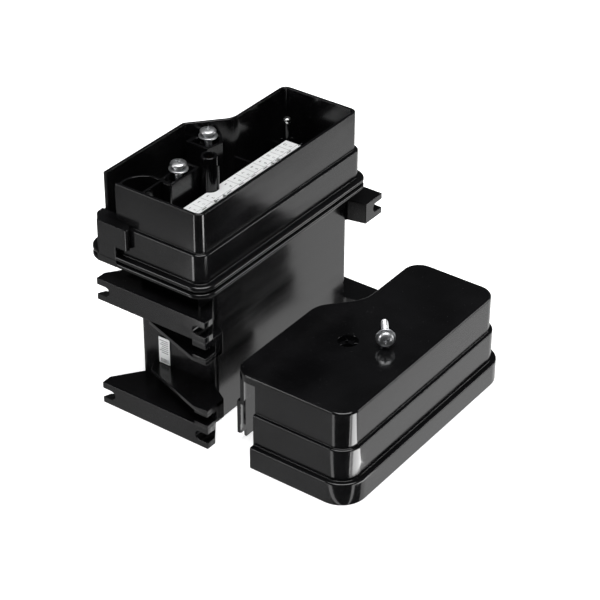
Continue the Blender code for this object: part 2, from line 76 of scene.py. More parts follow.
# Fixing lugs.
SLAB_TIP, CORNER_TIP, RIGHT_TIP = 5.5, 12.5, 13.6
SLOT_DEPTH, SLOT_HALF = 7.2, 2.3
OVERLAP = 1.2
SLABS = ((58.0, 69.5), (0.0, 11.5))
RIGHT_LUGS = ((59.0, 70.0), (3.0, 14.0))

# Cover heights: top, underside of the top, band and skirt.
COVER_Z, COVER_CEILING_Z, COVER_BAND_Z, COVER_SKIRT_Z = 47.0, 45.2, 28.1, 11.6

# Row of ways in the deck and of fields on its label.
WAYS, WAY_X, WAY_PITCH = 12, -33.6, 6.45
FIELD_X, FIELD_PITCH = -34.6, 6.6

# Camera: azimuth, elevation and roll in degrees, place in metres, focal length in millimetres.
CAMERA_AZ, CAMERA_EL, CAMERA_ROLL = -54.198, 33.482, 0.299
CAMERA_PLACE = (-0.649765, -0.500172, 0.574361)
CAMERA_LENS = 123.31


# ---------------------------------------------------------------- outlines

def line_cross(p, d, q, e):
    den = d[0] * e[1] - d[1] * e[0]
    t = ((q[0] - p[0]) * e[1] - (q[1] - p[1]) * e[0]) / den
    return (p[0] + t * d[0], p[1] + t * d[1])


def rounded(corners, radii, offset=0.0, steps=14):
    """Points of a counter-clockwise polygon, pushed outwards, with each corner turned into an arc."""
    count = len(corners)
    sides = []
    for i in range(count):
        a = corners[i]
        b = corners[(i + 1) % count]
        length = math.hypot(b[0] - a[0], b[1] - a[1])
        d = ((b[0] - a[0]) / length, (b[1] - a[1]) / length)
        out = (d[1], -d[0])
        sides.append(((a[0] + out[0] * offset, a[1] + out[1] * offset), d, out))
    points = []
    for i in range(count):
        p, d, out_d = sides[i - 1]
        q, e, _ = sides[i]
        corner = line_cross(p, d, q, e)
        turn = d[0] * e[1] - d[1] * e[0]
        sign = 1.0 if turn > 0 else -1.0
        radius = max(radii[i] + sign * offset, 0.05)
        half = abs(math.atan2(turn, d[0] * e[0] + d[1] * e[1])) / 2
        back = radius * math.tan(half)
        start = (corner[0] - d[0] * back, corner[1] - d[1] * back)
        centre = (start[0] - out_d[0] * radius * sign, start[1] - out_d[1] * radius * sign)
        first = math.atan2(start[1] - centre[1], start[0] - centre[0])
        for k in range(steps + 1):
            angle = first + sign * 2 * half * k / steps
            points.append((centre[0] + radius * math.cos(angle), centre[1] + radius * math.sin(angle)))
    return points


def rim_corners(dx=0.0, dy=0.0):
    base = [(RIM_X0, RIM_Y0), (RIM_X1, RIM_Y0), (RIM_X1, RIM_Y_NARROW),
            (BEND_X_NARROW, RIM_Y_NARROW), (BEND_X_WIDE, RIM_Y_WIDE), (RIM_X0, RIM_Y_WIDE)]
    return [(x + dx, y + dy) for x, y in base]


def rim_outline(offset):
    return rounded(rim_corners(), [4.0, 4.0, 4.0, 9.0, 3.0, 4.0], offset)


def cover_outline(offset):
    return rounded(rim_corners(COVER_DX, COVER_DY), [7.0, 7.0, 7.0, 18.0, 12.0, 7.0], offset)


def box_outline(x0, y0, x1, y1, radius=0.0, steps=8):
    corners = [(x0, y0), (x1, y0), (x1, y1), (x0, y1)]
    if radius <= 0.0:
        return corners
    return rounded(corners, [radius] * 4, 0.0, steps)


def circle(x, y, radius, steps=48):
    return [(x + radius * math.cos(2 * math.pi * k / steps), y + radius * math.sin(2 * math.pi * k / steps))
            for k in range(steps)]


def arc_profile(points, steps=4):
    """Open profile of (offset, height, radius) corners, each corner turned into a small arc."""
    out = []
    for i, (u, v, radius) in enumerate(points):
        if radius <= 0.0 or i in (0, len(points) - 1):
            out.append((u, v))
            continue
        p = Vector((points[i - 1][0], points[i - 1][1]))
        c = Vector((u, v))
        q = Vector((points[i + 1][0], points[i + 1][1]))
        a = (p - c).normalized()
        b = (q - c).normalized()
        half = a.angle(b) / 2
        back = min(radius / math.tan(half), (p - c).length * 0.49, (q - c).length * 0.49)
        r = back * math.tan(half)
        centre = c + (a + b).normalized() * (r / math.sin(half))
        start = c + a * back - centre
        end = c + b * back - centre
        turn = math.atan2(start.x * end.y - start.y * end.x, start.dot(end))
        for k in range(steps + 1):
            t = turn * k / steps
            x = start.x * math.cos(t) - start.y * math.sin(t)
            y = start.x * math.sin(t) + start.y * math.cos(t)
            out.append((centre.x + x, centre.y + y))
    return out


# ---------------------------------------------------------------- solids and pieces

def solid(verts, faces, bevel=0.0):
    """A closed temporary solid in millimetres, until piece() merges it into a piece."""
    mesh = bpy.data.meshes.new("solid")
    mesh.from_pydata(verts, [], faces)
    work = bmesh.new()
    work.from_mesh(mesh)
    bmesh.ops.remove_doubles(work, verts=work.verts, dist=1e-4)
    bmesh.ops.recalc_face_normals(work, faces=work.faces)
    work.to_mesh(mesh)
    work.free()
    obj = bpy.data.objects.new("solid", mesh)
    bpy.context.scene.collection.objects.link(obj)
    obj["bevel"] = bevel
    return obj


def loft(loops, bevel=0.0, closed=False):
    """Solid through loops of equal point count, each given as (points, height).

    Closed joins the last loop to the first.
    """
    count = len(loops[0][0])
    verts = [(x, y, z) for pts, z in loops for x, y in pts]
    faces = []
    for row in range(len(loops) if closed else len(loops) - 1):
        low = row * count
        high = (row + 1) % len(loops) * count
        faces += [(low + k, low + (k + 1) % count, high + (k + 1) % count, high + k) for k in range(count)]
    if not closed:
        faces.append(tuple(reversed(range(count))))
        top = (len(loops) - 1) * count
        faces.append(tuple(range(top, top + count)))
    return solid(verts, faces, bevel)


def prism(outline, z0, z1, bevel=0.0):
    return loft([(outline, z0), (outline, z1)], bevel)


def block(x0, x1, y0, y1, z0, z1, bevel=0.0):
    return prism(box_outline(x0, y0, x1, y1), z0, z1, bevel)


def along(axis, outline, a0, a1, bevel=0.0):
    """Prism along X (outline in YZ) or along Y (outline in XZ)."""
    count = len(outline)
    if axis == "x":
        verts = [(a, u, v) for a in (a0, a1) for u, v in outline]
    else:
        verts = [(u, a, v) for a in (a0, a1) for u, v in outline]
    faces = [tuple(range(count)), tuple(reversed(range(count, 2 * count)))]
    faces += [(k, (k + 1) % count, count + (k + 1) % count, count + k) for k in range(count)]
    return solid(verts, faces, bevel)


def turned(profile, x, y, steps=48, closed=False):
    """Body of revolution about a vertical axis from (radius, height) pairs."""
    return loft([(circle(x, y, r, steps), z) for r, z in profile], 0.0, closed)


def cut(target, *tools):
    for tool in tools:
        mod = target.modifiers.new("DIFFERENCE", "BOOLEAN")
        mod.operation = "DIFFERENCE"
        mod.solver = "EXACT"
        mod.object = tool
    return target


def baked(obj):
    """The solid's mesh after its cuts and its bevel."""
    if obj["bevel"] > 0.0:
        mod = obj.modifiers.new("bevel", "BEVEL")
        mod.width = obj["bevel"]
        mod.segments = 2
        mod.limit_method = "ANGLE"
        mod.angle_limit = math.radians(38)
        mod.use_clamp_overlap = False
    depsgraph = bpy.context.evaluated_depsgraph_get()
    return bpy.data.meshes.new_from_object(obj.evaluated_get(depsgraph))


def piece(name, solids, mat, body, nodes=(), place=None, sharp=50.0):
    """Merge solids into one smooth-shaded piece in metres that rides on a body and stands for CAD nodes."""
    work = bmesh.new()
    for obj in solids:
        work.from_mesh(baked(obj))
    mesh = bpy.data.meshes.new(name)
    work.to_mesh(mesh)
    work.free()
    matrix = Matrix.Scale(MM, 4)
    mesh.transform((place or Matrix.Identity(4)) @ matrix)
    for face in mesh.polygons:
        face.use_smooth = True
    mesh.set_sharp_from_angle(angle=math.radians(sharp))
    mesh.materials.append(mat)
    obj = bpy.data.objects.new(name, mesh)
    bpy.context.scene.collection.objects.link(obj)
    even = obj.modifiers.new("even_normals", "WEIGHTED_NORMAL")
    even.keep_sharp = True
    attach(obj, body)
    if nodes:
        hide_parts(*nodes)
    return obj


def clear_solids():
    for obj in [o for o in bpy.data.objects if "bevel" in o]:
        bpy.data.objects.remove(obj)
    for mesh in [m for m in bpy.data.meshes if m.users == 0]:
        bpy.data.meshes.remove(mesh)


# ---------------------------------------------------------------- materials

def new_material(name, colour, roughness, metallic=0.0):
    mat = bpy.data.materials.new(name)
    mat.use_nodes = True
    shader = mat.node_tree.nodes["Principled BSDF"]
    shader.inputs["Base Color"].default_value = (*colour, 1.0)
    shader.inputs["Roughness"].default_value = roughness
    shader.inputs["Metallic"].default_value = metallic
    return mat, mat.node_tree.nodes, mat.node_tree.links, shader


def noise(nodes, links, coords, scale, detail=3.0, stretch=(1.0, 1.0, 1.0)):
    mapping = nodes.new("ShaderNodeMapping")
    mapping.inputs["Scale"].default_value = stretch
    links.new(coords.outputs["Object"], mapping.inputs["Vector"])
    tex = nodes.new("ShaderNodeTexNoise")
    tex.inputs["Scale"].default_value = scale
    tex.inputs["Detail"].default_value = detail
    links.new(mapping.outputs["Vector"], tex.inputs["Vector"])
    return tex.outputs["Fac"]


def ramp(nodes, links, source, stops):
    node = nodes.new("ShaderNodeValToRGB")
    elements = node.color_ramp.elements
    while len(elements) < len(stops):
        elements.new(0.5)
    for element, (place, value) in zip(elements, stops):
        element.position = place
        colour = value if isinstance(value, tuple) else (value, value, value)
        element.color = (*colour, 1.0)
    links.new(source, node.inputs["Fac"])
    return node.outputs["Color"]


def bump(nodes, links, shader, layers):
    """Stack bump layers of (height, strength, distance in metres) onto the shader."""
    normal = None
    for height, strength, distance in layers:
        node = nodes.new("ShaderNodeBump")
        node.inputs["Strength"].default_value = strength
        node.inputs["Distance"].default_value = distance
        links.new(height, node.inputs["Height"])
        if normal is not None:
            links.new(normal, node.inputs["Normal"])
        normal = node.outputs["Normal"]
    links.new(normal, shader.inputs["Normal"])


def moulded_plastic(name, colour, rough_low, rough_high, grain=0.05):
    """Glossy moulded black plastic: faint flow clouds, handling scuffs, dust specks and a fine skin."""
    mat, nodes, links, shader = new_material(name, colour, rough_low)
    shader.inputs["IOR"].default_value = 1.5
    coords = nodes.new("ShaderNodeTexCoord")
    clouds = noise(nodes, links, coords, 38.0, 4.0)
    streaks = noise(nodes, links, coords, 120.0, 3.0, (0.25, 1.0, 2.4))
    specks = noise(nodes, links, coords, 1500.0, 1.0)
    dark = tuple(c * 0.7 for c in colour)
    light = tuple(c * 1.5 for c in colour)
    tint = ramp(nodes, links, clouds, [(0.35, dark), (0.7, light)])
    dust = ramp(nodes, links, specks, [(0.76, 0.0), (0.82, 1.0)])
    mix = nodes.new("ShaderNodeMix")
    mix.data_type = "RGBA"
    links.new(dust, mix.inputs["Factor"])
    links.new(tint, mix.inputs[6])
    mix.inputs[7].default_value = (0.05, 0.05, 0.052, 1.0)
    links.new(mix.outputs[2], shader.inputs["Base Color"])
    both = nodes.new("ShaderNodeMath")
    both.operation = "MULTIPLY"
    links.new(clouds, both.inputs[0])
    links.new(streaks, both.inputs[1])
    gloss = ramp(nodes, links, both.outputs[0], [(0.15, rough_low), (0.42, rough_high)])
    links.new(gloss, shader.inputs["Roughness"])
    skin = noise(nodes, links, coords, 900.0, 2.0)
    waves = noise(nodes, links, coords, 26.0, 2.0)
    bump(nodes, links, shader, [(waves, 0.12, 0.00008), (skin, grain, 0.00001)])
    return mat


def plated(name, colour, roughness, scale=220.0):
    """Plated metal with a soft brushed variation and dull spots."""
    mat, nodes, links, shader = new_material(name, colour, roughness, 1.0)
    coords = nodes.new("ShaderNodeTexCoord")
    spots = noise(nodes, links, coords, scale, 4.0)
    tint = ramp(nodes, links, spots, [(0.3, tuple(c * 0.62 for c in colour)), (0.65, colour)])
    links.new(tint, shader.inputs["Base Color"])
    gloss = ramp(nodes, links, spots, [(0.3, roughness + 0.16), (0.7, roughness * 0.7)])
    links.new(gloss, shader.inputs["Roughness"])
    bump(nodes, links, shader, [(noise(nodes, links, coords, scale * 4.0, 2.0), 0.12, 0.00002)])
    return mat


def paper(name, colour):
    """Coated label stock with faint fibre and slight yellowing."""
    mat, nodes, links, shader = new_material(name, colour, 0.42)
    coords = nodes.new("ShaderNodeTexCoord")
    fibre = noise(nodes, links, coords, 900.0, 4.0, (1.0, 3.0, 1.0))
    age = noise(nodes, links, coords, 60.0, 3.0)
    tint = ramp(nodes, links, age, [(0.35, tuple(c * 0.93 for c in colour)), (0.65, colour)])
    links.new(tint, shader.inputs["Base Color"])
    gloss = ramp(nodes, links, fibre, [(0.3, 0.36), (0.7, 0.5)])
    links.new(gloss, shader.inputs["Roughness"])
    bump(nodes, links, shader, [(fibre, 0.15, 0.00002)])
    return mat


def mottled(name, colour, roughness, metallic=0.0, scale=260.0, spread=0.25):
    """General moulded, wound or printed surface with fine tone and gloss variation."""
    mat, nodes, links, shader = new_material(name, colour, roughness, metallic)
    coords = nodes.new("ShaderNodeTexCoord")
    fac = noise(nodes, links, coords, scale, 4.0)
    low = tuple(c * (1.0 - spread) for c in colour)
    high = tuple(min(1.0, c * (1.0 + spread)) for c in colour)
    links.new(ramp(nodes, links, fac, [(0.3, low), (0.7, high)]), shader.inputs["Base Color"])
    gloss = ramp(nodes, links, fac, [(0.3, max(0.05, roughness - 0.08)), (0.7, roughness + 0.1)])
    links.new(gloss, shader.inputs["Roughness"])
    bump(nodes, links, shader, [(fac, 0.2, 0.00003)])
    return mat


BLACK = moulded_plastic("moulded_black", (0.0042, 0.0042, 0.0046), 0.13, 0.24)
COVER_BLACK = moulded_plastic("moulded_black_cover", (0.0042, 0.0042, 0.0046), 0.11, 0.2)
DARK = moulded_plastic("moulded_dark", (0.011, 0.011, 0.012), 0.28, 0.42, 0.15)
ZINC = plated("zinc_plate", (0.93, 0.94, 0.95), 0.36)
DULL_ZINC = plated("zinc_plate_dull", (0.6, 0.61, 0.63), 0.38)
TIN = plated("tin_plate", (0.82, 0.83, 0.82), 0.26)
BRASS = plated("brass_insert", (0.62, 0.45, 0.2), 0.26)
WHITE = paper("label_stock", (0.86, 0.87, 0.87))
INK = mottled("print_ink", (0.03, 0.03, 0.035), 0.4)
RUBBER = mottled("seal_rubber", (0.012, 0.012, 0.012), 0.6)


# ---------------------------------------------------------------- lower housing

def slab_plan():
    inside = BODY_X0 + OVERLAP
    return [(LUG_X0, LUG_Y0), (LUG_X0 + SLAB_TIP, LUG_Y0), (BODY_X0, BODY_Y0), (inside, BODY_Y0 + 1.0),
            (inside, BODY_Y1 - 1.0), (BODY_X0, BODY_Y1), (LUG_X0 + SLAB_TIP, LUG_Y1), (LUG_X0, LUG_Y1)]


def corner_plate_plan():
    inside = BODY_X0 + OVERLAP
    return [(LUG_X0, LUG_Y0), (LUG_X0 + CORNER_TIP, LUG_Y0), (BODY_X0, BODY_Y0), (inside, BODY_Y0 + 1.0),
            (inside, 14.0), (BODY_X0, 14.0), (BODY_X0 - 7.2, 10.5), (LUG_X0, LUG_Y0 + 8.0)]


def corner_web_plan():
    inside = BODY_X0 + OVERLAP
    tip = LUG_X0 + SLOT_DEPTH
    return [(tip, LUG_Y0), (LUG_X0 + CORNER_TIP, LUG_Y0), (BODY_X0, BODY_Y0), (inside, BODY_Y0 + 1.0),
            (inside, 13.0), (BODY_X0, 13.0), (BODY_X0 - 2.0, 8.0), (tip + 0.3, LUG_Y0 + 9.5)]


def right_lug_plan():
    tip = LUG_X1 - RIGHT_TIP
    inside = BODY_X1 - OVERLAP
    return [(tip, LUG_Y0), (LUG_X1, LUG_Y0), (LUG_X1, LUG_Y1), (tip, LUG_Y1), (BODY_X1, BODY_Y1),
            (inside, BODY_Y1 - 1.0), (inside, BODY_Y0 + 1.0), (BODY_X1, BODY_Y0)]


def flared_slot(y, z, toward, x0, x1):
    """Open slot along X whose lower side falls away towards the housing."""
    front = slot_profile(y, z, toward)
    back = [(u, v if v > z else z + (v - z) * 2.0) for u, v in front]
    count = len(front)
    verts = [(x0, u, v) for u, v in front] + [(x1, u, v) for u, v in back]
    faces = [tuple(range(count)), tuple(reversed(range(count, 2 * count)))]
    faces += [(k, (k + 1) % count, count + (k + 1) % count, count + k) for k in range(count)]
    return solid(verts, faces)


def slot_profile(edge, z, toward):
    """Open slot, round at its inner end, in the plane that holds the depth direction and Z."""
    half = SLOT_HALF
    centre = edge - toward * (SLOT_DEPTH - half)
    pts = [(edge + toward * 2.0, z - half), (edge + toward * 2.0, z + half)]
    for k in range(17):
        angle = math.pi / 2 + math.pi * k / 16
        pts.append((centre + toward * half * math.cos(angle), z + half * math.sin(angle)))
    return pts


def lugs():
    solids = []
    for z0, z1 in SLABS:
        slab = prism(slab_plan(), z0, z1, 0.35)
        cut(slab, along("x", slot_profile(LUG_Y0, (z0 + z1) / 2, -1), LUG_X0 - 2.0, BODY_X0 - 1.6))
        cut(slab, flared_slot(LUG_Y1, (z0 + z1) / 2, 1, LUG_X0 - 0.5, LUG_X0 + 7.0))
        solids.append(slab)
    for plate, web, bosses in (((46.5, 48.7), (46.6, 58.3), ((48.5, 50.2), (54.9, 58.3))),
                               ((19.3, 21.5), (11.2, 21.4), ((17.8, 19.5), (11.2, 13.2)))):
        solids.append(prism(corner_plate_plan(), *plate, 0.3))
        solids.append(prism(corner_web_plan(), *web, 0.2))
        for z0, z1 in bosses:
            boss = block(LUG_X0 + 0.02, LUG_X0 + 7.4, LUG_Y0 + 0.02, LUG_Y0 + 7.5, z0, z1, 0.3)
            solids.append(boss)
    for z0, z1 in RIGHT_LUGS:
        lug = prism(right_lug_plan(), z0, z1, 0.35)
        for y0, y1 in ((LUG_Y0 - 2.0, LUG_Y0 + 10.0), (LUG_Y1 - 10.0, LUG_Y1 + 2.0)):
            cut(lug, along("y", slot_profile(LUG_X1, (z0 + z1) / 2, 1), y0, y1))
        solids.append(lug)
    for x, y in ((-64.1, -21.0), (-68.7 + 2.4, -5.3)):
        solids.append(turned([(1.3, 69.2), (1.3, 69.62), (1.05, 69.66), (0.9, 69.55)], x, y, 24))
    return solids


def housing():
    body = box_outline(BODY_X0, BODY_Y0, BODY_X1, BODY_Y1, 3.0, 12)
    foot = box_outline(BODY_X0 + 0.5, BODY_Y0 + 0.5, BODY_X1 - 0.5, BODY_Y1 - 0.5, 2.5, 12)
    inner = box_outline(BODY_X0 + 2.3, BODY_Y0 + 2.3, BODY_X1 - 2.3, BODY_Y1 - 2.3, 1.0, 12)
    shell = loft([(foot, 0.0), (body, 0.5), (body, HOUSING_Z - 0.8), (inner, HOUSING_Z - 0.8),
                  (inner, 2.0)])
    profile = arc_profile([(-8.0, HOUSING_FLANGE_Z, 0.0), (FLANGE_OUT, HOUSING_FLANGE_Z, 1.1),
                           (FLANGE_OUT, HOUSING_Z, 1.35), (-8.0, HOUSING_Z, 0.0)], 5)
    lip = loft([(rim_outline(u), v) for u, v in profile], closed=True)
    cut(lip, block(LUG_X0, RIM_X0 - 3.4, 21.8, 33.7, 75.0, 79.5))
    ribs = [block(x - 0.5, x + 0.5, BODY_Y1 - 0.1, BODY_Y1 + 6.0, 69.0, 76.2, 0.2)
            for x in (-36.0, 0.0, 36.0)]
    gusset = along("y", [(BODY_X0 + 0.5, 69.4), (BODY_X0 - 9.0, 69.4), (BODY_X0 - 9.6, 76.2),
                         (BODY_X0 + 0.5, 76.2)], BODY_Y0, BODY_Y0 + 1.4, 0.2)
    return piece("vis_lower_housing", [shell, lip, gusset] + ribs + lugs(), BLACK, "base",
                 ["lower_housing"])


# ---------------------------------------------------------------- terminal chamber

def chamber_walls():
    profile = arc_profile([(-8.0, FLANGE_Z, 0.0), (FLANGE_OUT, FLANGE_Z, 1.1), (FLANGE_OUT, LEDGE_Z, 1.35),
                           (MID_OUT, LEDGE_Z, 0.3), (MID_OUT, TOP_BAND_Z, 0.9), (0.0, TOP_BAND_Z, 0.25),
                           (0.0, RIM_Z, 0.5), (-WALL, RIM_Z, 0.45), (-WALL, 99.0, 0.0), (-1.9, LEDGE_Z, 0.6),
                           (-8.0, LEDGE_Z, 0.0)], 4)
    walls = loft([(rim_outline(u), v) for u, v in profile], closed=True)
    cut(walls, block(RIM_X0 - 3.0, RIM_X0 + 5.3, 24.6, RIM_Y_WIDE + 3.0, TOP_BAND_Z + 0.02, RIM_Z + 2.0))
    cut(walls, block(LUG_X0, RIM_X0 - 3.4, 22.5, 33.0, 79.0, LEDGE_Z + 0.2))
    floor = prism(rim_outline(-7.0), 79.62, 82.18)
    return [walls, floor]


def plan_rounded(corners, radii, z0, z1, bevel=0.3):
    return prism(rounded(corners, radii, 0.0, 6), z0, z1, bevel)


def hood():
    x0 = RIM_X0 - FLANGE_OUT
    skirt_x1 = RIM_X0 - 3.7
    far_y = 33.4
    upper = plan_rounded([(x0, 13.8), (-61.5, 17.8), (-61.5, far_y), (x0, far_y)],
                         [1.3, 0.1, 0.1, 1.6], 87.2, 98.0, 0.25)
    lower = plan_rounded([(x0, 22.1), (-61.5, 22.1), (-61.5, far_y), (x0, far_y)],
                         [0.5, 0.1, 0.1, 1.6], 79.7, 87.8)
    skirt = plan_rounded([(x0, 22.1), (skirt_x1, 22.1), (skirt_x1, far_y), (x0, far_y)],
                         [0.2, 0.1, 0.1, 0.5], 76.5, 80.4, 0.15)
    shelf = plan_rounded([(-64.0, 24.7), (-57.0, 24.7), (-57.0, 37.3), (-64.0, 37.3)],
                         [0.5, 0.2, 0.2, 4.6], 95.0, 97.9)
    return [upper, lower, skirt, shelf]


def wall_line(points, z0, z1, thick, bevel=0.25):
    """Upright wall of even thickness along a line of plan points."""
    left = []
    right = []
    for i, (x, y) in enumerate(points):
        a = points[max(i - 1, 0)]
        b = points[min(i + 1, len(points) - 1)]
        length = math.hypot(b[0] - a[0], b[1] - a[1])
        nx = -(b[1] - a[1]) / length
        ny = (b[0] - a[0]) / length
        left.append((x + nx * thick / 2, y + ny * thick / 2))
        right.append((x - nx * thick / 2, y - ny * thick / 2))
    return prism(left + list(reversed(right)), z0, z1, bevel)


def radial_ribs(centre, first, inner, outer, z0, z1, thick, bevel):
    """Four upright ribs around a centre, a quarter turn apart from the first angle."""
    ribs = []
    for k in range(4):
        a = math.radians(first + 90.0 * k)
        line = [(centre[0] + r * math.cos(a), centre[1] + r * math.sin(a)) for r in (inner, outer)]
        ribs.append(wall_line(line, z0, z1, thick, bevel))
    return ribs


def chamber_inside():
    floor = 81.8
    solids = []
    column = turned([(4.3, floor), (3.95, 84.0), (3.9, 115.1), (3.5, COLUMN_Z), (2.75, COLUMN_Z),
                     (2.6, 115.2), (2.6, 106.0), (0.4, 106.0)], *COLUMN)
    solids.append(column)
    solids += radial_ribs(COLUMN, 20.0, 3.0, 4.6, floor, 110.5, 1.0, 0.15)
    solids.append(turned([(2.5, floor), (2.1, 86.0), (2.0, 106.2), (1.7, 106.5), (0.3, 106.5)], *POST, 36))
    solids += radial_ribs(POST, 45.0, 1.2, 3.0, floor, 98.0, 0.7, 0.12)
    well = prism([(-39.0, 11.5), (-18.6, 11.5), (-18.6, 19.5), (-39.0, 19.5)], floor, 110.0, 0.3)
    cut(well, block(-37.6, -20.0, 12.9, 18.1, 100.0, 111.0))
    solids.append(well)
    skew = prism([(-3.6, 19.0), (5.9, 17.2), (12.4, 23.2), (3.4, 31.9), (-3.6, 31.9)], floor, 110.0, 0.3)
    cut(skew, prism([(-2.2, 20.4), (5.3, 18.8), (9.4, 22.4), (1.6, 29.6), (-2.2, 29.6)], 100.0, 111.0))
    solids.append(skew)
    arc = []
    for k in range(25):
        a = math.radians(104.0 - 134.0 * k / 24)
        arc.append((-53.6 + 10.6 * math.cos(a), 16.2 + 10.6 * math.sin(a)))
    solids.append(wall_line([(-60.6, 25.6)] + arc + [(-44.3, 7.6)], floor, 114.0, 1.3, 0.25))
    solids.append(wall_line([(-60.8, 13.5), (-41.6, 13.5)], floor, 113.9, 1.3, 0.25))
    solids.append(wall_line([(17.6, 21.0), (17.6, 7.6)], floor, 96.5, 1.2, 0.2))
    solids.append(wall_line([(42.4, -20.0), (42.4, 5.0)], floor, 94.0, 1.2, 0.2))
    solids.append(wall_line([(47.0, 19.0), (47.0, 12.0), (55.0, 12.0)], floor, 92.0, 1.1, 0.2))
    return solids


def chamber():
    return piece("vis_terminal_chamber", chamber_walls() + hood() + chamber_inside(), BLACK, "base",
                 ["terminal_chamber"])


def deck():
    base = block(-37.9, 41.9, -19.0, 7.4, LEDGE_Z + 0.3, DECK_Z, 0.25)
    cut(base, prism(circle(*COLUMN, 4.5), 80.0, 100.0), prism(circle(*POST, 3.3), 80.0, 100.0))
    for k in range(WAYS):
        x = WAY_X + k * WAY_PITCH
        cut(base, block(x - 2.3, x + 2.3, -18.0, -6.0, 92.5, 99.0))
    dividers = []
    for k in range(WAYS - 1):
        x = WAY_X + k * WAY_PITCH
        dividers.append(block(x + 2.7, x + 3.75, -18.6, -3.2, DECK_Z - 0.4, DECK_Z + 1.6, 0.2))
    lip = block(-37.8, 41.8, -2.6, -1.7, DECK_Z - 0.3, DECK_Z + 0.8, 0.15)
    return piece("vis_terminal_deck", [base, lip] + dividers, DARK, "base", ["terminal_deck"])


# ---------------------------------------------------------------- labels

def digits(text, x, y, z, size):
    """Printed number as a real thin mesh, turned to read along the strip's short side."""
    curve = bpy.data.curves.new("mark", "FONT")
    curve.body = text
    curve.size = size
    curve.extrude = 0.01
    curve.align_x = "CENTER"
    curve.align_y = "CENTER"
    holder = bpy.data.objects.new("mark", curve)
    bpy.context.scene.collection.objects.link(holder)
    depsgraph = bpy.context.evaluated_depsgraph_get()
    mesh = bpy.data.meshes.new_from_object(holder.evaluated_get(depsgraph))
    bpy.data.objects.remove(holder)
    mesh.transform(Matrix.Rotation(math.radians(90.0), 4, "Z"))
    mesh.transform(Matrix.Translation((x, y, z)))
    return mesh


def printed(name, meshes, mat, body):
    work = bmesh.new()
    for mesh in meshes:
        work.from_mesh(mesh)
    mesh = bpy.data.meshes.new(name)
    work.to_mesh(mesh)
    work.free()
    mesh.transform(Matrix.Scale(MM, 4))
    mesh.materials.append(mat)
    obj = bpy.data.objects.new(name, mesh)
    bpy.context.scene.collection.objects.link(obj)
    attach(obj, body)
    return obj


def labels():
    top = DECK_Z + 0.7
    strip = block(-37.7, 41.6, -1.4, 7.2, DECK_Z + 0.3, top, 0.08)
    cut(strip, prism(circle(*COLUMN, 4.4), 90.0, 105.0))
    piece("vis_label_strip", [strip], WHITE, "base", ["label_strip"])
    marks = []
    for k in range(WAYS):
        x = FIELD_X + k * FIELD_PITCH
        if abs(x - COLUMN[0]) < 5.5:
            continue
        marks.append(digits(str(k + 1), x, 4.9, top + 0.012, 2.1))
        marks.append(digits(str(10 + k * 7 % 60), x, 1.9, top + 0.012, 1.5))
    for k in range(11):
        x = -31.3 + k * 6.6
        if abs(x - COLUMN[0]) < 4.9:
            continue
        marks.append(baked(block(x - 0.07, x + 0.07, -1.0, 6.8, top, top + 0.02)))
    marks.append(baked(block(-37.2, 41.1, 0.15, 0.3, top, top + 0.02)))
    for k in range(9):
        x = -33.0 + k * 9.2
        marks.append(baked(block(x, x + 3.2, -0.95, -0.45, top, top + 0.02)))
    printed("vis_label_print", marks, INK, "base")
    face = BODY_X0 - 0.65
    piece("vis_rating_label", [block(face, BODY_X0 - 0.3, 4.4, 10.8, 21.8, 36.2, 0.06)], WHITE, "base",
          ["rating_label"])
    bars = []
    for k in range(7):
        z = 34.6 - k * 1.1
        y1 = 10.2 - (k * 13 % 5) * 0.35
        bars.append(baked(block(face - 0.02, face, 5.2, y1, z - 0.22, z + 0.1)))
    for k in range(6):
        bars.append(baked(block(face - 0.02, face, 5.4 + k * 0.75, 5.75 + k * 0.75, 22.6, 24.6)))
    printed("vis_rating_print", bars, INK, "base")


# ---------------------------------------------------------------- metal parts

def thread(radius, z0, z1, pitch, depth, steps=36):
    """Threaded shank: a stack of loops whose radius follows the thread's helix."""
    loops = []
    rows = max(4, int((z1 - z0) / (pitch / 6)))
    for row in range(rows + 1):
        z = z0 + (z1 - z0) * row / rows
        pts = []
        for k in range(steps):
            phase = (z / pitch - k / steps) % 1.0
            crest = 1.0 - abs(phase * 2.0 - 1.0)
            ease = min(1.0, (z - z0) / 0.8 + 0.05, (z1 - z) / 0.4 + 0.2)
            r = radius - depth + depth * crest * ease
            a = 2 * math.pi * k / steps
            pts.append((r * math.cos(a), r * math.sin(a)))
        loops.append((pts, z))
    return loft(loops)


def screw_head(radius, z0, height, recess):
    """Pan head with a combined cross recess, standing up from z0 on its own axis."""
    profile = [(radius - 0.3, z0), (radius, z0 + 0.25), (radius + 0.02, z0 + height * 0.42),
               (radius - 0.3, z0 + height * 0.68), (radius - 0.9, z0 + height * 0.86),
               (radius - 1.8, z0 + height * 0.96), (radius - 2.7, z0 + height), (0.25, z0 + height + 0.03)]
    head = turned(profile, 0.0, 0.0, 56)
    for w, d in ((0.42, recess), (recess, 0.42)):
        cut(head, block(-w, w, -d, d, z0 + height - 1.15, z0 + height + 2.0))
    cut(head, turned([(0.5, z0 + height - 1.5), (1.0, z0 + height + 1.0)], 0.0, 0.0, 24))
    return head


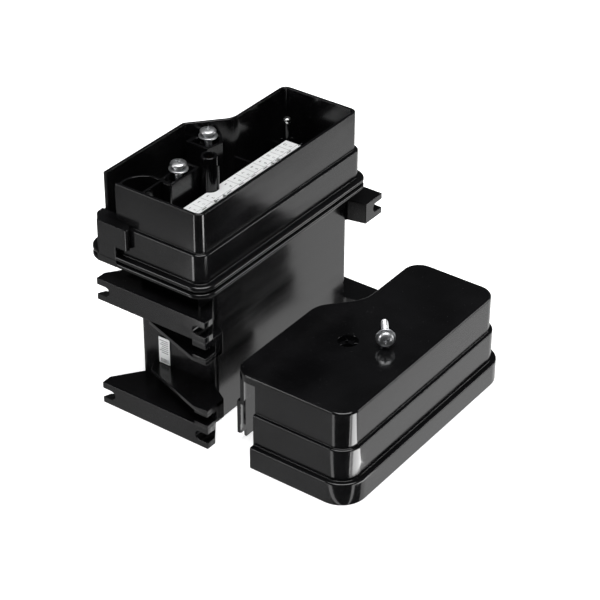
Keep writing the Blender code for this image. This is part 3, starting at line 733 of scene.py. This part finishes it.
def terminal_screws():
    for k, (x, y) in enumerate(SCREWS, 1):
        place = Matrix.Translation((x * MM, y * MM, 0.0)) @ Matrix.Rotation(math.radians(18.0 * k), 4, "Z")
        shank = thread(1.85, 101.2, HEAD_Z - 0.3, 0.7, 0.28)
        collar = turned([(2.4, HEAD_Z - 0.45), (2.6, HEAD_Z - 0.3), (2.6, HEAD_Z + 1.0)], 0.0, 0.0)
        head = screw_head(3.85, HEAD_Z + 0.8, 1.9, 1.9)
        piece(f"vis_terminal_screw_{k}", [shank, collar, head], ZINC, f"screw_{k}_body",
              [f"terminal_screw_{k}"], place, 40.0)
        profile = [(2.75, HEAD_Z - 1.1), (4.0, HEAD_Z - 1.25), (4.45, HEAD_Z - 1.35), (4.5, HEAD_Z - 1.2),
                   (4.5, HEAD_Z - 0.75), (4.35, HEAD_Z - 0.65), (3.4, HEAD_Z - 0.62), (2.75, HEAD_Z - 0.5)]
        washer = turned(profile, 0.0, 0.0, 56, True)
        piece(f"vis_clamp_washer_{k}", [washer], ZINC, f"washer_{k}_body", [f"clamp_washer_{k}"],
              Matrix.Translation((x * MM, y * MM, 0.0)), 40.0)


def loose_screw():
    lay = Matrix.Translation(tuple(c * MM for c in LOOSE_SCREW))
    lay = lay @ Matrix.Rotation(math.radians(35.8), 4, "Z") @ Matrix.Rotation(math.radians(98.5), 4, "Y")
    flip = lay @ Matrix.Rotation(math.radians(180.0), 4, "X")
    shank = thread(1.75, -16.5, -0.1, 0.7, 0.3)
    collar = turned([(1.4, -1.2), (2.3, -0.6), (2.4, 0.0), (2.4, 1.0)], 0.0, 0.0)
    head = screw_head(3.68, 0.85, 2.5, 1.8)
    piece("vis_cover_screw", [shank, collar, head], ZINC, "cover_screw_body", ["cover_screw"],
          flip, 40.0)
    ring = turned([(2.75, -0.2), (4.3, -0.3), (4.5, -0.1), (4.5, 0.45), (4.35, 0.62), (2.75, 0.7)],
                  0.0, 0.0, 56, True)
    piece("vis_cover_screw_washer", [ring], DULL_ZINC, "cover_washer_body", ["cover_screw_washer"],
          flip, 40.0)


def small_metal():
    for k, x in enumerate((-26.4, -19.9, 16.6, 21.1), 1):
        tab = block(x - 0.4, x + 0.4, -5.6, -2.6, DECK_Z + 0.3, DECK_Z + 3.4, 0.18)
        piece(f"vis_contact_tab_{k}", [tab], TIN, "base", [f"contact_tab_{k}"])
    pin = turned([(1.7, 106.6), (1.95, 107.3), (1.9, 108.2), (1.6, 108.7), (1.0, 108.95), (0.2, 109.0)],
                 *POST, 36)
    piece("vis_post_pin", [pin], TIN, "base", ["post_pin"])
    insert = turned([(2.5, 107.5), (2.5, 110.9), (2.3, 111.1), (1.75, 111.1), (1.62, 110.9), (1.62, 108.5),
                     (0.2, 108.4)], *COLUMN, 40)
    piece("vis_column_insert", [insert], BRASS, "base", ["column_insert"])


# ---------------------------------------------------------------- cover

def cover_shell():
    profile = arc_profile([(-4.0, COVER_Z, 0.0), (1.8, COVER_Z, 1.2), (1.8, COVER_BAND_Z, 0.3),
                           (3.4, COVER_BAND_Z, 0.9), (3.4, COVER_SKIRT_Z, 0.3), (6.0, COVER_SKIRT_Z, 0.9),
                           (6.0, 0.0, 0.4), (4.5, 0.0, 0.3), (4.5, 10.1, 0.4), (1.9, 10.1, 0.3),
                           (1.9, 26.6, 0.4), (0.3, 26.6, 0.3), (0.3, COVER_CEILING_Z, 0.8),
                           (-4.0, COVER_CEILING_Z, 0.0)], 4)
    shell = loft([(cover_outline(u), v) for u, v in profile[1:-1]])
    corner_x = RIM_X0 + COVER_DX
    corner_y = RIM_Y_WIDE + COVER_DY
    cut(shell, block(corner_x - 9.0, corner_x + 1.6, -54.7, corner_y + 9.0, -2.0, 42.7))
    cut(shell, block(corner_x - 1.0, corner_x + 12.0, corner_y - 4.0, corner_y + 9.0, -2.0, 4.4))
    cut(shell, block(corner_x - 9.0, corner_x + 8.0, corner_y + 1.85, corner_y + 9.0, -3.0, 28.4))
    return shell


def cover():
    hole_x = COLUMN[0] + COVER_DX
    hole_y = COLUMN[1] + COVER_DY
    shell = cover_shell()
    cut(shell, prism(circle(hole_x, hole_y, 4.9), 44.0, 48.0))
    dish = turned([(4.88, 46.95), (4.7, 46.7), (4.6, 44.1), (2.45, 44.0), (2.3, 43.8), (2.3, 34.2),
                   (5.6, 34.2), (5.9, 45.6), (5.2, 46.6)], hole_x, hole_y, 56, True)
    ribs = radial_ribs((hole_x, hole_y), 45.0, 2.6, 4.8, 43.9, 45.4, 0.7, 0.1)
    return piece("vis_cover", [shell, dish] + ribs, COVER_BLACK, "cover_body", ["cover"])


# ---------------------------------------------------------------- hidden pieces keep their CAD shape

def finish_hidden():
    finishes = {
        "flange_gasket": RUBBER, "circuit_board": mottled("board_green", (0.03, 0.16, 0.06), 0.4),
        "board_rail": DARK, "transformer_core": mottled("core_steel", (0.22, 0.23, 0.25), 0.45, 1.0),
        "transformer_bobbin": DARK, "output_coil": mottled("coil_potting", (0.05, 0.05, 0.06), 0.5),
        "relay": mottled("relay_case", (0.02, 0.05, 0.2), 0.35),
        "capacitor": mottled("sleeve", (0.03, 0.04, 0.12), 0.4),
        "film_capacitor": mottled("film_case", (0.7, 0.45, 0.05), 0.4), "fuse_clip": TIN,
        "fuse": mottled("fuse_glass", (0.8, 0.82, 0.8), 0.12), "header_pin": TIN, "header_body": DARK,
        "clamp_nut": ZINC,
    }
    for name, node in frame["nodes"].items():
        if node.hide_render:
            continue
        best = max((key for key in finishes if name.startswith(key)), key=len, default=None)
        mat = finishes[best] if best else DARK
        for slot in node.material_slots:
            slot.material = mat


# ---------------------------------------------------------------- studio

def glow(shader, strength):
    """White emission without a mirror shine."""
    shader.inputs["Specular IOR Level"].default_value = 0.0
    shader.inputs["Emission Color"].default_value = (1.0, 1.0, 1.0, 1.0)
    shader.inputs["Emission Strength"].default_value = strength


def staged(name, mesh, height):
    """Put a finished mesh into the scene at the given height."""
    obj = bpy.data.objects.new(name, mesh)
    obj.location = (0.0, 0.0, height)
    bpy.context.scene.collection.objects.link(obj)
    return obj


def studio():
    mesh = bpy.data.meshes.new("studio_floor")
    size = 4.0
    mesh.from_pydata([(-size, -size, 0.0), (size, -size, 0.0), (size, size, 0.0), (-size, size, 0.0)], [],
                     [(0, 1, 2, 3)])
    mat, nodes, links, shader = new_material("studio_floor", (0.86, 0.86, 0.86), 0.9)
    glow(shader, 0.8)
    coords = nodes.new("ShaderNodeTexCoord")
    tone = noise(nodes, links, coords, 2.0, 2.0)
    links.new(ramp(nodes, links, tone, [(0.3, 0.84), (0.7, 0.88)]), shader.inputs["Base Color"])
    mesh.materials.append(mat)
    floor = staged("studio_floor", mesh, -0.0002)
    floor.visible_glossy = False
    backdrop()


def backdrop():
    """Pale ring wall far behind everything, for low cameras only."""
    count = 48
    radius = 3.9
    verts = [(radius * math.cos(math.tau * k / count), radius * math.sin(math.tau * k / count), z)
             for z in (-0.01, 6.0) for k in range(count)]
    faces = [(k, (k + 1) % count, count + (k + 1) % count, count + k) for k in range(count)]
    mesh = bpy.data.meshes.new("studio_backdrop")
    mesh.from_pydata(verts, [], faces)
    mat, _, _, shader = new_material("studio_backdrop", (0.2, 0.2, 0.2), 0.9)
    glow(shader, 0.95)
    mesh.materials.append(mat)
    wall = staged("studio_backdrop", mesh, 0.0)
    wall.visible_glossy = False
    wall.visible_diffuse = False
    wall.visible_shadow = False


def area(name, place, target, width, height, power):
    data = bpy.data.lights.new(name, "AREA")
    data.shape = "RECTANGLE"
    data.size = width
    data.size_y = height
    data.energy = power
    lamp = bpy.data.objects.new(name, data)
    lamp.location = place
    aim = Vector(target) - Vector(place)
    lamp.rotation_euler = aim.to_track_quat("-Z", "Y").to_euler()
    bpy.context.scene.collection.objects.link(lamp)


def card(name, points, height, strength):
    """Flat bright card on the studio floor that only reflections see, from plan points in metres."""
    mesh = bpy.data.meshes.new(name)
    mesh.from_pydata([(x, y, 0.0) for x, y in points], [], [tuple(range(len(points)))])
    mat, _, _, shader = new_material(name, (0.0, 0.0, 0.0), 1.0)
    glow(shader, strength)
    mesh.materials.append(mat)
    obj = staged(name, mesh, height)
    obj.visible_camera = False
    obj.visible_diffuse = False
    obj.visible_shadow = False
    obj.visible_transmission = False


def sector(apex, start, end, near, far):
    """Plan of a ring sector around an apex."""
    angles = [math.radians(start + (end - start) * k / 8) for k in range(9)]
    outer = [(apex[0] + far * math.cos(a), apex[1] + far * math.sin(a)) for a in angles]
    inner = [(apex[0] + near * math.cos(a), apex[1] + near * math.sin(a)) for a in reversed(angles)]
    return outer + inner


def cards():
    """Cards for the wide faces, and narrow brighter ones for the rounded front corners."""
    base_corner = (-0.062, -0.023)
    cover_corner = (-0.066, -0.1045)
    card("card_left", [(-0.062, -0.104), (-0.062, 0.15), (-0.215, 0.15), (-0.215, 0.026), (-0.127, -0.010),
                       (-0.127, -0.078)], -0.00014, 0.45)
    card("card_front", [(-0.062, -0.022), (-0.064, -0.104), (-0.0296, -0.155), (0.24, -0.155),
                        (0.24, -0.022)], -0.00014, 1.12)
    card("card_back", [(-0.06, 0.042), (0.24, 0.042), (0.24, 0.19), (-0.06, 0.19)], -0.00012, 0.4)
    card("card_right", [(0.07, -0.02), (0.26, -0.02), (0.26, 0.042), (0.07, 0.042)], -0.00016, 0.4)
    card("glint_left_base", sector(base_corner, 148.0, 163.0, 0.1, 0.21), -0.00008, 4.0)
    card("glint_right_base", sector(base_corner, 266.0, 285.0, 0.1, 0.21), -0.00008, 9.0)
    card("glint_left_cover", sector(cover_corner, 148.0, 162.0, 0.001, 0.09), -0.00004, 2.2)
    card("glint_right_cover", sector(cover_corner, 266.0, 280.0, 0.001, 0.09), -0.00004, 2.6)
    card("glint_hood", sector((-0.066, 0.016), 157.0, 174.0, 0.12, 0.16), -0.00006, 5.0)
    card("card_far", sector((0.0, 0.0), -60.0, 157.0, 0.27, 2.6), -0.00018, 0.35)


def lights():
    area("soft_top", (-0.15, -0.25, 1.5), (0.0, -0.05, 0.0), 1.3, 1.0, 24.0)
    area("low_right", (0.75, -0.78, 0.12), (0.0, -0.05, 0.06), 0.5, 0.16, 2.0)
    area("low_left", (-0.95, 0.57, 0.4), (0.0, 0.0, 0.06), 0.5, 0.22, 2.5)
    world = bpy.data.worlds.new("studio_world")
    world.use_nodes = True
    nodes = world.node_tree.nodes
    nodes["Background"].inputs["Color"].default_value = (0.9, 0.92, 0.95, 1.0)
    nodes["Background"].inputs["Strength"].default_value = 0.04
    bpy.context.scene.world = world
    bpy.context.scene.view_settings.view_transform = "Standard"
    bpy.context.scene.view_settings.look = "None"


def camera():
    data = bpy.data.cameras.new("studio_camera")
    data.sensor_width = 36.0
    data.lens = CAMERA_LENS
    data.clip_end = 20.0
    cam = bpy.data.objects.new("studio_camera", data)
    az = math.radians(CAMERA_AZ)
    el = math.radians(CAMERA_EL)
    roll = math.radians(CAMERA_ROLL)
    back = Vector((math.sin(az) * math.cos(el), -math.cos(az) * math.cos(el), math.sin(el)))
    right = Vector((math.cos(az), math.sin(az), 0.0))
    up = back.cross(right)
    x_axis = right * math.cos(roll) + up * math.sin(roll)
    y_axis = up * math.cos(roll) - right * math.sin(roll)
    turn = Matrix((x_axis, y_axis, back)).transposed().to_4x4()
    cam.matrix_world = Matrix.Translation(CAMERA_PLACE) @ turn
    bpy.context.scene.collection.objects.link(cam)
    bpy.context.scene.camera = cam


camera()
housing()
chamber()
deck()
labels()
terminal_screws()
small_metal()
cover()
loose_screw()
clear_solids()
finish_hidden()
studio()
cards()
lights()
